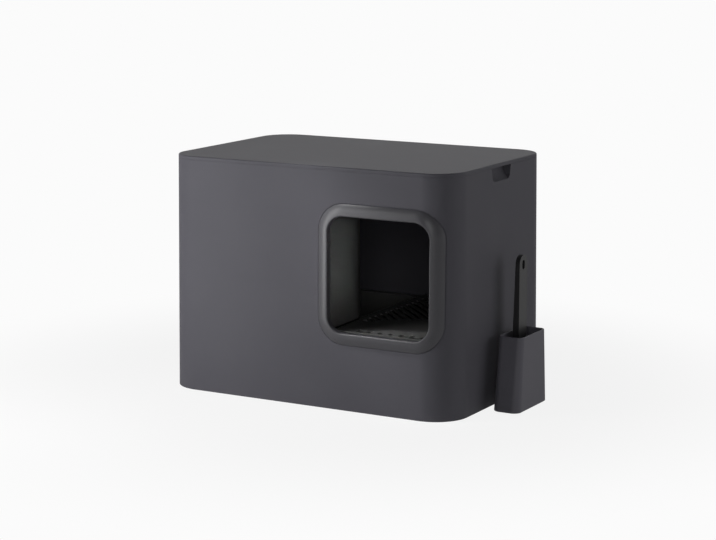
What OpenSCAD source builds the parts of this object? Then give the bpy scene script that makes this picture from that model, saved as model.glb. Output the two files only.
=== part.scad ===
// Enclosed litter box: a drafted shell with a flush lift-off lid stands over a litter pan.
// A raised bezel frames the entrance, a slotted deck lies on the pan's rim behind it,
// and a scoop stands in a flared holder beside the right wall.
// Frame: millimetres, +X right, -Y front, +Z up, origin on the floor under the box's centre.

/* [Body] */
// Width of the box at its top edge
body_w = 539; // [500:1:640]
// Depth of the box at its top edge
body_d = 359; // [345:1:460]
// Height of the box with its lid on
body_h = 400; // [385:1:480]
// How far each wall leans out from the top edge to the floor
flare = 4.4; // [2:0.2:8]
// Radius of the vertical corners at the top edge
corner_r = 54; // [46:1:60]
// Thickness of the shell's walls
wall = 3; // [2.4:0.1:4]

/* [Lid] */
// Height of the lid's visible edge
lid_edge = 6; // [5:0.5:9]
// Rounding of the lid's top edge
lid_round = 2; // [1:0.25:3]
// Thickness of the lid's plate
lid_plate = 3; // [2:0.5:4]
// Depth of the skirt under the lid's edge
skirt_h = 12; // [8:1:14]
// Thickness of the skirt and of the ribs under the lid
skirt_t = 2.2; // [1.6:0.2:3]

/* [Finger recess] */
// Width of each finger recess under the lid's edge
recess_w = 72; // [50:1:90]
// Height of each finger recess
recess_h = 23; // [18:1:28]
// Depth of each finger recess from the wall's face
recess_depth = 15; // [11:1:20]
// Rounding of the recess's lower corners
recess_r = 8; // [4:1:10]
// How far each side of the recess slants in
recess_taper = 5; // [2:0.5:7]
// Thickness of the wall round each recess
recess_wall = 2.6; // [2:0.2:3]

/* [Entrance] */
// Width and height of the clear entrance
entry_size = 190; // [160:1:196]
// Corner radius of the clear entrance
entry_r = 38; // [30:1:50]
// Distance of the entrance's centre from the box's right side
entry_side = 127.5; // [126:0.5:149]
// Height of the sill above the floor
sill_h = 130; // [115:1:150]
// Width of the bezel's band
band = 20; // [16:0.5:24]
// How far the bezel's crown stands off the wall
crown = 9; // [6:0.5:12]
// Thickness of the bezel's neck through the wall
neck_t = 2.5; // [2:0.25:3]
// Thickness of the collar behind the wall
collar_t = 3; // [2:0.5:4]
// Free space between the neck's hole and the collar
collar_lap = 2; // [1:0.5:3]

/* [Baffle] */
// How far the baffle reaches in from the front wall
baffle_reach = 98; // [70:1:120]
// Thickness of the baffle
baffle_t = 2.5; // [2:0.5:4]
// Lean of the baffle away from the entrance, in degrees
baffle_lean = 6; // [2:1:10]
// Radius of the roll at the baffle's free edge
roll_r = 16; // [10:1:24]
// How far the baffle's face shows inside the entrance
baffle_show = 1; // [0:0.5:3]
// Clearance between the baffle and the deck
baffle_gap = 2; // [1.5:0.5:3]
// Gap between the baffle and the lid's skirt
baffle_head = 12; // [8:1:20]

/* [Deck] */
// Thickness of the deck's plate
deck_t = 3; // [2.5:0.5:4]
// How far the deck reaches left past the baffle's foot
deck_reach = 20; // [18:1:30]
// How far the deck's edge lies inside the pan's rim
deck_inset = 2; // [1:0.5:3]
// Width of the solid margin round the slotted field
deck_margin = 24; // [20:1:32]
// Depth of the flanges under the deck
deck_flange = 14; // [8:1:20]
// Pitch of the drain slots, measured across them
slot_pitch = 15; // [12:0.5:20]
// Width of each drain slot
slot_w = 7.5; // [5:0.5:9]
// Radius of the solid landing in front of the slotted field
landing_r = 178; // [150:1:190]
// Distance of the landing's centre from the entrance's right edge
landing_in = 37; // [30:1:50]
// Distance of the small slots from the deck's front edge
wipe_in = 8; // [6:0.5:10]
// Pitch of the small slots behind the sill
wipe_pitch = 19.4; // [16:0.2:24]
// Length of each small slot
wipe_l = 12; // [8:1:14]
// Width of each small slot
wipe_w = 7; // [4:0.5:9]

/* [Pan] */
// Free space between the pan's rim and the shell's wall
pan_gap = 7; // [6:0.5:9]
// Width of the pan's rim
rim_w = 9; // [7:1:14]
// Thickness of the pan's walls and floor
pan_wall = 2.6; // [2:0.2:4]
// How far the pan's walls lean in from the rim to the floor
pan_draft = 8; // [4:1:14]
// Rounding between the pan's walls and its floor
pan_round = 12; // [6:1:20]

/* [Scoop holder] */
// Gap between the shell and the holder at the floor
holder_gap = 15; // [8:1:40]
// Width of the holder's foot, away from the shell
holder_foot_w = 48; // [46:1:60]
// Length of the holder's foot along the wall
holder_foot_l = 118; // [104:1:130]
// Width of the holder's mouth
holder_mouth_w = 44; // [43:1:56]
// Length of the holder's mouth
holder_mouth_l = 94; // [92:1:104]
// Height of the holder
holder_h = 122; // [116:1:135]
// How far the foot's middle lies in front of the mouth's middle
holder_skew = 9; // [0:1:12]
// Corner radius of the holder's mouth
holder_r = 10; // [7:1:14]
// Corner radius of the holder's foot
holder_foot_r = 14; // [10:1:18]
// Thickness of the holder's walls
holder_wall = 2.4; // [1.8:0.2:3]

/* [Scoop] */
// Height of the handle's top above the floor
scoop_top = 251; // [230:1:300]
// Width of the scoop's blade
blade_w = 78; // [60:1:80]
// Length of the scoop's blade
blade_l = 106; // [90:1:110]
// Depth of the blade's shoulder
blade_depth = 30; // [24:1:32]
// Thickness of the scoop's walls
scoop_wall = 2.2; // [1.8:0.2:3]
// How far the blade's nose slants back
nose = 5; // [2:0.5:8]
// Height of the slots above the blade's nose, and their distance from its shoulder
sift_in = 15; // [12:1:20]
// Number of slots in the blade
sift_n = 7; // [5:1:9]
// Width of the handle
handle_w = 30; // [22:1:34]
// Thickness of the handle at its top
handle_t = 7.5; // [6:0.5:9]
// Thickness of the handle at the blade's shoulder
handle_root_t = 11.5; // [9:0.5:14]
// Width of the hanging slot
hang_w = 9; // [6:0.5:12]
// Height of the hanging slot
hang_h = 15.5; // [13:0.5:20]
// Distance of the hanging slot from the handle's top
hang_in = 8.5; // [6:0.5:12]

/* [Fits] */
// Clearance where one piece plugs into another
fit = 0.5; // [0.3:0.1:0.8]
// Clearance where one piece lies against another
seat = 0.2; // [0.2:0.05:0.3]
// Clearance between the shell's guide ribs and the pan's rim
rib_fit = 0.3; // [0.2:0.1:0.8]
// Thickness of the shell's guide ribs
rib_t = 2.4; // [1.6:0.2:4]

/* [Screws] */
// Radius of the screws' shanks
screw_r = 1.4; // [1.2:0.1:1.6]
// Radius of the screws' heads
head_r = 3.2; // [2.8:0.1:3.6]
// Height of the screws' heads
head_h = 1.6; // [1.2:0.1:2]

/* [Hidden] */

// Steps in a quarter turn of a corner
corner_steps = 12;
// Steps in a quarter turn of a small rounding
round_steps = 4;
// Steps in a quarter turn of the bezel and its collar
entry_steps = 18;
// Facets of round holes and pins
round_fn = 32;
// How far a cutting solid runs past the face that it cuts
past = 1;
// Height of the guide ribs' feet above the floor, and of their tops above the pan's rim
rib_low = 20;
rib_over = 10;

charcoal = [0.26, 0.26, 0.275];
steel = [0.7, 0.7, 0.72];

shell_top = body_h - lid_edge;
entry_x = body_w / 2 - entry_side;
entry_z = sill_h + entry_size / 2;
deck_top = sill_h;
pan_h = deck_top - deck_t;
// Inner edge of the neck's hole in the wall, measured out from the clear entrance
hole_out = neck_t + fit;
// Middle of the band that the screws pass through, measured out from the clear entrance
screw_out = hole_out + 2 * head_r;

// ---- outlines and surfaces ----

// Points of an arc about [cx, cy] from angle a0 to a1
function arc(cx, cy, r, a0, a1, n) =
    [for (k = [0:n]) let (a = a0 + (a1 - a0) * k / n) [cx + r * cos(a), cy + r * sin(a)]];

// Rounded rectangle about the origin, counter-clockwise
function round_rect(w, d, r, n = corner_steps) = concat(
    arc(w / 2 - r, d / 2 - r, r, 0, 90, n),
    arc(r - w / 2, d / 2 - r, r, 90, 180, n),
    arc(r - w / 2, r - d / 2, r, 180, 270, n),
    arc(w / 2 - r, r - d / 2, r, 270, 360, n));

function shifted(points, x, y) = [for (p = points) [p[0] + x, p[1] + y]];
function lifted(points, z) = [for (p = points) [p[0], p[1], z]];

// How far the walls lean out at height z
function lean(z) = flare * (1 - z / body_h);
function body_hw(z) = body_w / 2 + lean(z);
function body_hd(z) = body_d / 2 + lean(z);
function body_cr(z) = corner_r + lean(z);

// The box's outline at height z, moved in by inset
function body_outline(z, inset = 0) =
    round_rect(2 * (body_hw(z) - inset), 2 * (body_hd(z) - inset), body_cr(z) - inset);
function body_ring(z, inset = 0) = lifted(body_outline(z, inset), z);

// Y of the box's front face at x and z, moved in by inset
function front_y(x, z, inset = 0) =
    let (r = body_cr(z) - inset, bend = max(0, abs(x) - (body_hw(z) - inset - r)))
    r - (body_hd(z) - inset) - sqrt(max(0, r * r - bend * bend));

// Solid through a stack of rings, each a closed loop of as many points, bottom first
module loft(rings) {
    n = len(rings[0]);
    m = len(rings);
    sides = [for (j = [0:m - 2]) for (i = [0:n - 1]) let (a = j * n + i, b = j * n + (i + 1) % n)
        each [[a, b + n, b], [a, a + n, b + n]]];
    polyhedron(points = [for (r = rings) each r],
        faces = concat([[for (i = [0:n - 1]) i]], sides, [[for (i = [n - 1:-1:0]) (m - 1) * n + i]]));
}

// Solid ring through a closed chain of sections, each a closed loop of as many points
module closed_sweep(sections) {
    n = len(sections[0]);
    m = len(sections);
    polyhedron(points = [for (s = sections) each s],
        faces = [for (j = [0:m - 1]) for (i = [0:n - 1])
            let (a = j * n + i, b = j * n + (i + 1) % n, c = ((j + 1) % m) * n)
            each [[a, b, c + (i + 1) % n], [a, c + (i + 1) % n, c + i]]]);
}

// A plate in the XZ plane, extruded from y0 to y1
module along_y(y0, y1) {
    translate([0, y1, 0]) rotate([90, 0, 0]) linear_extrude(y1 - y0) children();
}

// A section's corners laid over the front wall: each is [out from the entrance, off the wall's face]
function entry_station(cx, cz, a, section, inset) = [for (p = section)
    let (x = cx + (entry_r + p[0]) * cos(a), z = cz + (entry_r + p[0]) * sin(a))
    [x, front_y(x, z, inset) - p[1], z]];

// The same section carried round the entrance's rounded square
function entry_chain(section, inset) =
    let (c = entry_size / 2 - entry_r)
    [for (q = [0:3]) for (k = [0:entry_steps])
        let (a = 90 * q + 90 * k / entry_steps, sx = (q == 0 || q == 3) ? 1 : -1, sz = q < 2 ? 1 : -1)
        entry_station(entry_x + sx * c, entry_z + sz * c, a, section, inset)];

// ---- screw places round the entrance, as [x, z] ----

// From the entrance's centre lines, just inside the ends of the straight stretches
screw_span = entry_size / 2 - entry_r - head_r;
collar_screw_at = [for (sx = [-1, 1]) for (sz = [-1, 1])
    [entry_x + sx * screw_span, entry_z + sz * (entry_size / 2 + screw_out)]];
baffle_screw_at = [for (sz = [-1, 1])
    [entry_x - entry_size / 2 - screw_out, entry_z + sz * screw_span]];

// A pin along Y through the wall at [x, z], from y0 to y1 behind the wall's face
module wall_pin(at, r, y0, y1) {
    y = front_y(at[0], at[1]);
    translate([at[0], y + y0, at[1]]) rotate([-90, 0, 0]) cylinder(r = r, h = y1 - y0, $fn = round_fn);
}

// ---- outer shell ----

// Outline of the finger recess, in Y and Z, grown by grow
module recess_window(grow = 0) {
    half = recess_w / 2 + grow;
    low = shell_top - recess_h - grow;
    slant = atan(recess_taper / (recess_h - recess_r));
    r = recess_r + grow;
    corner = half - recess_taper - r;
    polygon(concat([[half, shell_top + past], [-half, shell_top + past]],
        arc(-corner, low + r, r, 180 + slant, 270, 2 * round_steps),
        arc(corner, low + r, r, 270, 360 - slant, 2 * round_steps)));
}

// The hollow of the recess: a roller about a line just outside the wall, cut to the window
module recess_hollow(grow = 0) {
    face = body_hw(shell_top);
    out = (recess_h * recess_h - recess_depth * recess_depth) / (2 * recess_depth);
    intersection() {
        translate([face + out, body_d / 2, shell_top]) rotate([90, 0, 0])
            cylinder(r = out + recess_depth + grow, h = body_d, $fn = 3 * round_fn);
        translate([face - 2 * recess_depth, 0, 0]) rotate([90, 0, 90])
            linear_extrude(4 * recess_depth) recess_window(grow);
    }
}

// Ribs inside the shell that centre it on the pan's rim
module guide_ribs() {
    near_x = body_hw(pan_h) - wall - pan_gap + rib_fit;
    near_y = body_hd(pan_h) - wall - pan_gap + rib_fit;
    corner_x = body_w / 2 - corner_r - rib_t;
    intersection() {
        loft([body_ring(rib_low, wall / 2), body_ring(pan_h + rib_over, wall / 2)]);
        union() {
            for (side = [-1, 1]) for (k = [-1, 1])
                translate([side * near_x - (side < 0 ? pan_gap * 2 : 0), k * body_d / 4 - rib_t / 2, 0])
                    cube([pan_gap * 2, rib_t, body_h]);
            for (x = [-corner_x, corner_x]) translate([x, near_y, 0]) cube([rib_t, pan_gap * 2, body_h]);
            for (x = [-corner_x, -body_w / 8]) translate([x, -near_y - pan_gap * 2, 0])
                cube([rib_t, pan_gap * 2, body_h]);
        }
    }
}

module outer_shell() color(charcoal) {
    difference() {
        union() {
            difference() {
                loft([body_ring(0), body_ring(shell_top)]);
                loft([body_ring(-past, wall), body_ring(shell_top + past, wall)]);
            }
            guide_ribs();
            for (side = [0, 1]) mirror([side, 0, 0]) intersection() {
                recess_hollow(recess_wall);
                loft([body_ring(sill_h), body_ring(shell_top)]);
            }
        }
        for (side = [0, 1]) mirror([side, 0, 0]) recess_hollow();
        translate([entry_x, 0, entry_z]) along_y(-body_d, 0)
            polygon(round_rect(entry_size + 2 * hole_out, entry_size + 2 * hole_out, entry_r + hole_out));
        for (at = concat(collar_screw_at, baffle_screw_at)) wall_pin(at, screw_r + fit, -wall, 2 * wall);
    }
}

// ---- entry bezel, collar and screws ----

// Where the crown lies, measured out from the clear entrance
crown_out = 5;
// Height of the bezel's outer edge off the wall
bezel_edge = 1.4;
// Depth of the roll from the crown into the entrance
crown_roll = 6;
neck_end = -(wall + seat);

// Steps across the band where it lies on the wall
back_steps = 6;

bezel_section = concat(
    [for (k = [1:back_steps]) [neck_t + (band - neck_t) * k / back_steps, seat]],
    [for (k = [0:2 * round_steps]) let (a = 45 * k / round_steps)
        [crown_out + (band - crown_out) * cos(a), bezel_edge + (crown - bezel_edge) * sin(a)]],
    [for (k = [1:round_steps]) let (a = 90 * k / round_steps)
        [crown_out * (1 - sin(a)), crown - crown_roll * (1 - cos(a))]],
    [[0, neck_end], [neck_t, neck_end], [neck_t, seat]]);

module entry_bezel() color(charcoal) difference() {
    closed_sweep(entry_chain(bezel_section, 0));
    for (at = concat(collar_screw_at, baffle_screw_at)) wall_pin(at, screw_r, screw_tip - 1, wall);
}

collar_in = hole_out + collar_lap;
collar_section = [[collar_in, -seat], [collar_in, -seat - collar_t],
    [band - 1, -seat - collar_t], [band - 1, -seat]];
// Depth of the collar's inner face behind the wall's outer face
collar_back = wall + seat + collar_t;

module entry_collar() color(charcoal) difference() {
    closed_sweep(entry_chain(collar_section, wall));
    for (at = concat(collar_screw_at, baffle_screw_at)) wall_pin(at, screw_r + fit, 0, collar_back + past);
}

// Depth of the screws' tips, inside the crown in front of the wall
screw_tip = -5;

// A pan-head screw at a place on the wall, its head's seat at depth y
module wall_screw(at, y) {
    wall_pin(at, screw_r - seat / 2, screw_tip, y + seat + head_h / 2);
    wall_pin(at, head_r, y + seat, y + seat + head_h);
}

module collar_screws() color(steel) {
    for (at = collar_screw_at) wall_screw(at, collar_back);
}

// ---- side baffle ----

baffle_x = entry_x - entry_size / 2 + baffle_show;
baffle_low = deck_top + baffle_gap;
baffle_high = shell_top - skirt_h - baffle_head;
baffle_y = front_y(0, baffle_high) + collar_back + 2 * seat;
flange_w = screw_out + head_r + baffle_t;
// How far the roll turns, in degrees
roll_turn = 60;

// End of the baffle's straight run
baffle_run = baffle_reach - roll_r;
baffle_end = [baffle_x - baffle_run * sin(baffle_lean), baffle_y + baffle_run * cos(baffle_lean)];
// Centre of the roll
roll_at = [baffle_end[0] - roll_r * cos(baffle_lean), baffle_end[1] - roll_r * sin(baffle_lean)];

// The baffle's plan: a leaning strip that ends in a roll
baffle_plan = concat(
    [[baffle_x, baffle_y]],
    arc(roll_at[0], roll_at[1], roll_r, baffle_lean, baffle_lean + roll_turn, 2 * round_steps),
    arc(roll_at[0], roll_at[1], roll_r - baffle_t, baffle_lean + roll_turn, baffle_lean, 2 * round_steps),
    [[baffle_x - baffle_t / cos(baffle_lean), baffle_y]]);

// The baffle's flange: its front follows the leaning wall, its back is upright
module baffle_flange() {
    lean_y = front_y(0, baffle_low) - front_y(0, baffle_high);
    translate([baffle_x - flange_w, 0, 0]) rotate([90, 0, 90]) linear_extrude(flange_w)
        polygon([[baffle_y + lean_y, baffle_low], [baffle_y + baffle_t, baffle_low],
            [baffle_y + baffle_t, baffle_high], [baffle_y, baffle_high]]);
}

module side_baffle() color(charcoal) difference() {
    union() {
        translate([0, 0, baffle_low]) linear_extrude(baffle_high - baffle_low)
            polygon(baffle_plan);
        baffle_flange();
    }
    for (at = baffle_screw_at) wall_pin(at, screw_r + fit, 0, 4 * collar_back);
}

module baffle_screws() color(steel) {
    for (at = baffle_screw_at)
        wall_screw(at, baffle_y + baffle_t - front_y(at[0], at[1]));
}

// ---- litter pan ----

// The pan's outline under its rim at height z, moved in by inset
function pan_ring(z, inset) = body_ring_at(z, wall + pan_gap + rim_w + pan_draft * (1 - z / pan_h) + inset);
// A level outline that keeps the box's size at the pan's rim
function body_ring_at(z, inset) = lifted(body_outline(pan_h, inset), z);

// Rings of the rounding between a wall and a floor at height z0, for a wall moved in by inset
function floor_rings(z0, r, inset) = [for (k = [0:round_steps]) let (a = 90 * k / round_steps)
    pan_ring(z0 + r * (1 - cos(a)), inset + r * (1 - sin(a)))];

module litter_pan() color(charcoal) difference() {
    union() {
        loft(concat(floor_rings(0, pan_round, 0), [pan_ring(pan_h - pan_wall, 0)]));
        loft([body_ring_at(pan_h - 2 * pan_wall, wall + pan_gap), body_ring_at(pan_h, wall + pan_gap)]);
    }
    loft(concat(floor_rings(pan_wall, pan_round - pan_wall, pan_wall),
        [pan_ring(pan_h + past, pan_wall)]));
    // The rim is a hollow, turned-down channel
    difference() {
        loft([body_ring_at(pan_h - 3 * pan_wall, wall + pan_gap + pan_wall),
            body_ring_at(pan_h - pan_wall, wall + pan_gap + pan_wall)]);
        loft([pan_ring(pan_h - 4 * pan_wall, 0), pan_ring(pan_h, 0)]);
    }
}

// ---- entry deck ----

// Space between the deck's edge and the shell, which narrows as the deck is lifted out
deck_clear = wall + pan_gap + deck_inset;
deck_left = baffle_x - deck_reach;
deck_back = body_hd(pan_h) - deck_clear;
deck_right = body_hw(pan_h) - deck_clear;
landing_at = [entry_x + entry_size / 2 - landing_in, -deck_back];

// The deck's plan, less the corner that goes round the baffle
module deck_plan() {
    difference() {
        intersection() {
            polygon(body_outline(pan_h, deck_clear));
            translate([deck_left, -body_d]) square([body_w, 2 * body_d]);
        }
        polygon(concat([[-body_w, -body_d], [baffle_x + baffle_gap, -body_d],
                [baffle_x + baffle_gap, baffle_y]],
            arc(roll_at[0], roll_at[1], roll_r + baffle_gap, baffle_lean, 90, 2 * round_steps),
            [[-body_w, roll_at[1] + roll_r + baffle_gap]]));
    }
}

// The slotted field: the deck's plan inside its margin and behind the round landing
module slot_field() {
    difference() {
        translate([deck_left + deck_margin, -deck_back + deck_margin])
            square([deck_right - deck_left - 2 * deck_margin, 2 * (deck_back - deck_margin)]);
        translate(landing_at) circle(r = landing_r, $fn = 3 * round_fn);
    }
}

module drain_slots() {
    reach = body_d;
    intersection() {
        slot_field();
        for (k = [-floor(reach / slot_pitch):floor(reach / slot_pitch)])
            translate([entry_x, 0]) rotate(-45) translate([-reach, k * slot_pitch - slot_w / 2])
                square([2 * reach, slot_w]);
    }
}

// The row of small slots just behind the sill
module wipe_slots() {
    n = floor((entry_size - entry_r) / wipe_pitch / 2);
    for (k = [-n:n]) translate([entry_x + k * wipe_pitch - wipe_w / 2, wipe_in - deck_back])
        square([wipe_w, wipe_l]);
}

module entry_deck() color(charcoal) {
    lip = wall + pan_gap + rim_w + pan_wall + fit;
    difference() {
        union() {
            translate([0, 0, pan_h]) linear_extrude(deck_t) deck_plan();
            // The locating lip inside the pan, and the flange along the free edge
            intersection() {
                translate([0, 0, pan_h - deck_flange]) linear_extrude(deck_flange + deck_t) deck_plan();
                union() {
                    difference() {
                        loft([pan_ring(pan_h - deck_flange, pan_wall + fit),
                            pan_ring(pan_h, pan_wall + fit)]);
                        loft([pan_ring(pan_h - deck_flange - past, pan_wall + fit + deck_t),
                            pan_ring(pan_h + past, pan_wall + fit + deck_t)]);
                    }
                    translate([deck_left, -body_hd(pan_h) + lip + deck_flange, pan_h - deck_flange])
                        cube([deck_t, 2 * (body_hd(pan_h) - lip - deck_flange), deck_flange]);
                }
            }
        }
        translate([0, 0, pan_h - past]) linear_extrude(deck_t + 2 * past) {
            drain_slots();
            wipe_slots();
        }
    }
}

// ---- lid ----

module lid() color(charcoal) {
    skirt_in = wall + fit;
    difference() {
        union() {
            loft(concat([body_ring(shell_top), body_ring(body_h - lid_round)],
                [for (k = [1:round_steps]) let (a = 90 * k / round_steps)
                    body_ring(body_h - lid_round * (1 - sin(a)), lid_round * (1 - cos(a)))]));
            loft([body_ring_at2(shell_top - skirt_h, skirt_in), body_ring_at2(shell_top + past, skirt_in)]);
        }
        loft([body_ring_at2(shell_top - skirt_h - past, skirt_in + skirt_t),
            body_ring_at2(body_h - lid_plate, skirt_in + skirt_t)]);
        // The skirt is cut away round the two finger recesses
        for (side = [0, 1]) mirror([side, 0, 0])
            translate([body_w / 2 - recess_depth - 2 * wall, -recess_w / 2 - 2 * wall,
                    shell_top - 2 * skirt_h])
                cube([recess_depth + wall, recess_w + 4 * wall, 2 * skirt_h]);
    }
    lid_ribs();
}

// A level outline that keeps the box's size at the shell's top
function body_ring_at2(z, inset) = lifted(body_outline(shell_top, inset), z);

// Stiffening ribs under the lid's plate
module lid_ribs() {
    depth = lid_edge - lid_plate + skirt_h / 2;
    long = body_w - 2 * (wall + fit + skirt_t) - 2 * recess_depth;
    wide = body_d - 2 * (wall + fit + skirt_t);
    for (k = [-1, 1]) translate([-long / 2, k * body_d / 6 - skirt_t / 2, body_h - lid_plate - depth])
        cube([long, skirt_t, depth]);
    for (k = [-1, 0, 1]) translate([k * body_w / 5 - skirt_t / 2, -wide / 2, body_h - lid_plate - depth])
        cube([skirt_t, wide, depth]);
}

// ---- scoop holder and scoop ----

holder_x = body_hw(0) + holder_gap + holder_foot_w / 2;
mouth_x = holder_x - (holder_foot_w - holder_mouth_w) / 2;
// Rounding of the holder's lip
holder_lip = 1;

// The holder's outline at height z, moved in by inset
function holder_ring(z, inset) = let (t = 1 - z / holder_h) lifted(shifted(
    round_rect(holder_mouth_w + t * (holder_foot_w - holder_mouth_w) - 2 * inset,
        holder_mouth_l + t * (holder_foot_l - holder_mouth_l) - 2 * inset,
        holder_r + t * (holder_foot_r - holder_r) - inset, round_steps * 2),
    mouth_x + t * (holder_x - mouth_x), -t * holder_skew), z);

module scoop_holder() color(charcoal) difference() {
    loft([holder_ring(0, 0), holder_ring(holder_h - holder_lip, 0), holder_ring(holder_h, holder_lip / 2)]);
    loft([holder_ring(holder_wall, holder_wall), holder_ring(holder_h + past, holder_wall)]);
}

blade_low = holder_wall + seat;
blade_high = blade_low + blade_l;
blade_back = mouth_x - blade_depth / 2;
// Share of the blade's height below which it narrows to its nose
blade_full = 0.7;

// Side view of the blade in X and Z, moved in by inset at its closed sides
module blade_side(inset) {
    polygon([[blade_back + inset, blade_low - (inset > 0 ? past : 0)],
        [blade_back + inset, blade_high - inset],
        [blade_back + blade_depth + inset, blade_high - inset],
        [blade_back + blade_depth + inset, blade_high * blade_full],
        [blade_back + nose + 2 * inset, blade_low - inset]]);
}

module scoop_blade() {
    pitch = (blade_w - 4 * scoop_wall) / sift_n;
    difference() {
        along_y(-blade_w / 2, blade_w / 2) blade_side(0);
        along_y(scoop_wall - blade_w / 2, blade_w / 2 - scoop_wall) blade_side(scoop_wall);
        for (k = [0:sift_n - 1])
            translate([blade_back - past, (k - (sift_n - 1) / 2) * pitch - pitch / 4, blade_low + sift_in])
                cube([scoop_wall + 2 * past, pitch / 2, blade_l - 2 * sift_in]);
    }
}

// The handle: a tapering grip with a round end, pierced by the hanging slot
module scoop_handle() {
    face = blade_back + blade_depth / 2 + 1;
    tip = scoop_top - handle_w / 2;
    hang_z = scoop_top - hang_in - hang_h / 2;
    difference() {
        intersection() {
            along_y(-handle_w / 2, handle_w / 2) polygon([[face, blade_high - scoop_wall], [face, scoop_top],
                [face - handle_t, scoop_top], [face - handle_root_t, blade_high - scoop_wall]]);
            translate([face - 2 * handle_root_t, 0, 0]) rotate([90, 0, 90])
                linear_extrude(4 * handle_root_t)
                polygon(concat([[-handle_w / 2, 0], [handle_w / 2, 0]],
                    arc(0, tip, handle_w / 2, 0, 180, 4 * round_steps)));
        }
        translate([face - 2 * handle_root_t, 0, hang_z]) rotate([90, 0, 90]) linear_extrude(4 * handle_root_t)
            polygon(round_rect(hang_w, hang_h, hang_w / 2 - 0.01, 2 * round_steps));
    }
}

module scoop() color(charcoal) {
    scoop_blade();
    scoop_handle();
}

litter_pan();
outer_shell();
entry_bezel();
entry_collar();
collar_screws();
side_baffle();
baffle_screws();
entry_deck();
lid();
scoop_holder();
scoop();
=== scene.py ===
"""Enclosed litter box: charcoal moulded shell, lid, entrance ring, deck, pan, holder and scoop.

Metres, +X right, -Y front, +Z up, with the pan's underside on the floor at z = 0.
Each piece is modelled as by hand, in the place of the plain solid that it stands for.
"""

import math
from contextlib import contextmanager

import bmesh
import bpy
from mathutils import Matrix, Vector


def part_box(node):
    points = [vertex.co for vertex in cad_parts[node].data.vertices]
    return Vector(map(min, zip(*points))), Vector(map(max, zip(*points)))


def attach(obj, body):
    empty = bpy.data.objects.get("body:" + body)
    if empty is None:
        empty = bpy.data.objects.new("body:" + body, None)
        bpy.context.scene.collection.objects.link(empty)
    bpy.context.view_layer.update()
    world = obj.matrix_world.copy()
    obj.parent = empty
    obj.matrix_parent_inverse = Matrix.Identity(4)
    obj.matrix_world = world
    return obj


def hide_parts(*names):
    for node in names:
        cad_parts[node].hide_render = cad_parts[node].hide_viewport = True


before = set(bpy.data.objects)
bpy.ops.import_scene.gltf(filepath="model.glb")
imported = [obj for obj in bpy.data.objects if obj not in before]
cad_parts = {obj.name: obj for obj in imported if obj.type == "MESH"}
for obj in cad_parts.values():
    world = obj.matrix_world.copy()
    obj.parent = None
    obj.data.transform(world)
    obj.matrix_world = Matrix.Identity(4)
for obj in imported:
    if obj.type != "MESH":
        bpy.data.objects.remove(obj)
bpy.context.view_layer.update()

# ---------------------------------------------------------------- sizes

BODY_W, BODY_D = 0.539, 0.359
BODY_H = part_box("lid")[1].z
FLARE, CORNER, WALL = 0.0044, 0.054, 0.003
LID_EDGE, LID_ROUND, LID_PLATE = 0.006, 0.0022, 0.003
SKIRT_H, SKIRT_T = 0.012, 0.0022
FIT, SEAT = 0.0005, 0.0002
SHELL_TOP = BODY_H - LID_EDGE

ENTRY_W, ENTRY_H, ENTRY_R = 0.184, 0.191, 0.027
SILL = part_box("entry_deck")[1].z
ENTRY_X = BODY_W / 2 - 0.128
ENTRY_Z = SILL + ENTRY_H / 2
BAND, CROWN, NECK = 0.020, 0.0072, 0.0025
CROWN_OUT, CROWN_ROLL, BEZEL_EDGE = 0.0024, 0.0030, 0.0012
HOLE_OUT = NECK + FIT
GROOVE_IN, GROOVE_OUT, GROOVE_DEEP = 0.0008, 0.0011, 0.001
COLLAR_T = 0.003
COLLAR_BACK = WALL + SEAT + COLLAR_T

SCREW_R, SCREW_L, HEAD_R, HEAD_H = 0.0014, 0.0112, 0.0032, 0.0016
CROSS_L, CROSS_W = 0.0036, 0.0006
SCREW_OUT = HOLE_OUT + 2 * HEAD_R
SCREW_IN = ENTRY_R + HEAD_R

RECESS_W, RECESS_H, RECESS_DEEP, RECESS_R = 0.072, 0.023, 0.015, 0.008
RECESS_TAPER, RECESS_WALL = 0.005, 0.0026

BAFFLE_T, BAFFLE_RUN, BAFFLE_LEAN = 0.0025, 0.088, math.radians(2.2)
ROLL_R, ROLL_TURN, BAFFLE_GAP = 0.060, math.radians(32), 0.002
BAFFLE_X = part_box("side_baffle")[1].x
BAFFLE_LOW, BAFFLE_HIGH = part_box("side_baffle")[0].z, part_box("side_baffle")[1].z

DECK_T, DECK_FLANGE, DECK_MARGIN = 0.003, 0.014, 0.014
DECK_LEFT, DECK_RIGHT = BAFFLE_X - 0.0085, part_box("entry_deck")[1].x
DECK_MID, DECK_BACK = (DECK_LEFT + DECK_RIGHT) / 2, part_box("entry_deck")[1].y
SLOT_PITCH, SLOT_W = 0.0134, 0.0065
LANDING_R = 0.158
LANDING_AT = Vector((ENTRY_X + ENTRY_W / 2 - 0.0335, -DECK_BACK))
WIPE_PITCH, WIPE_L, WIPE_W, WIPE_IN = 0.0195, 0.012, 0.007, 0.0085

PAN_H = SILL - DECK_T
PAN_GAP, RIM_W, PAN_WALL, PAN_DRAFT, PAN_ROUND = 0.007, 0.009, 0.0026, 0.008, 0.012

HOLDER_LOW, HOLDER_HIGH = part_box("scoop_holder")
FOOT = (0.048, 0.118, 0.014)
MOUTH = (0.044, 0.094, 0.010)
HOLDER_WALL, HOLDER_SKEW = 0.0024, 0.009
FOOT_AT = ((HOLDER_LOW.x + HOLDER_HIGH.x) / 2, -HOLDER_SKEW)
MOUTH_AT = (FOOT_AT[0] - (FOOT[0] - MOUTH[0]) / 2, 0.0)

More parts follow.
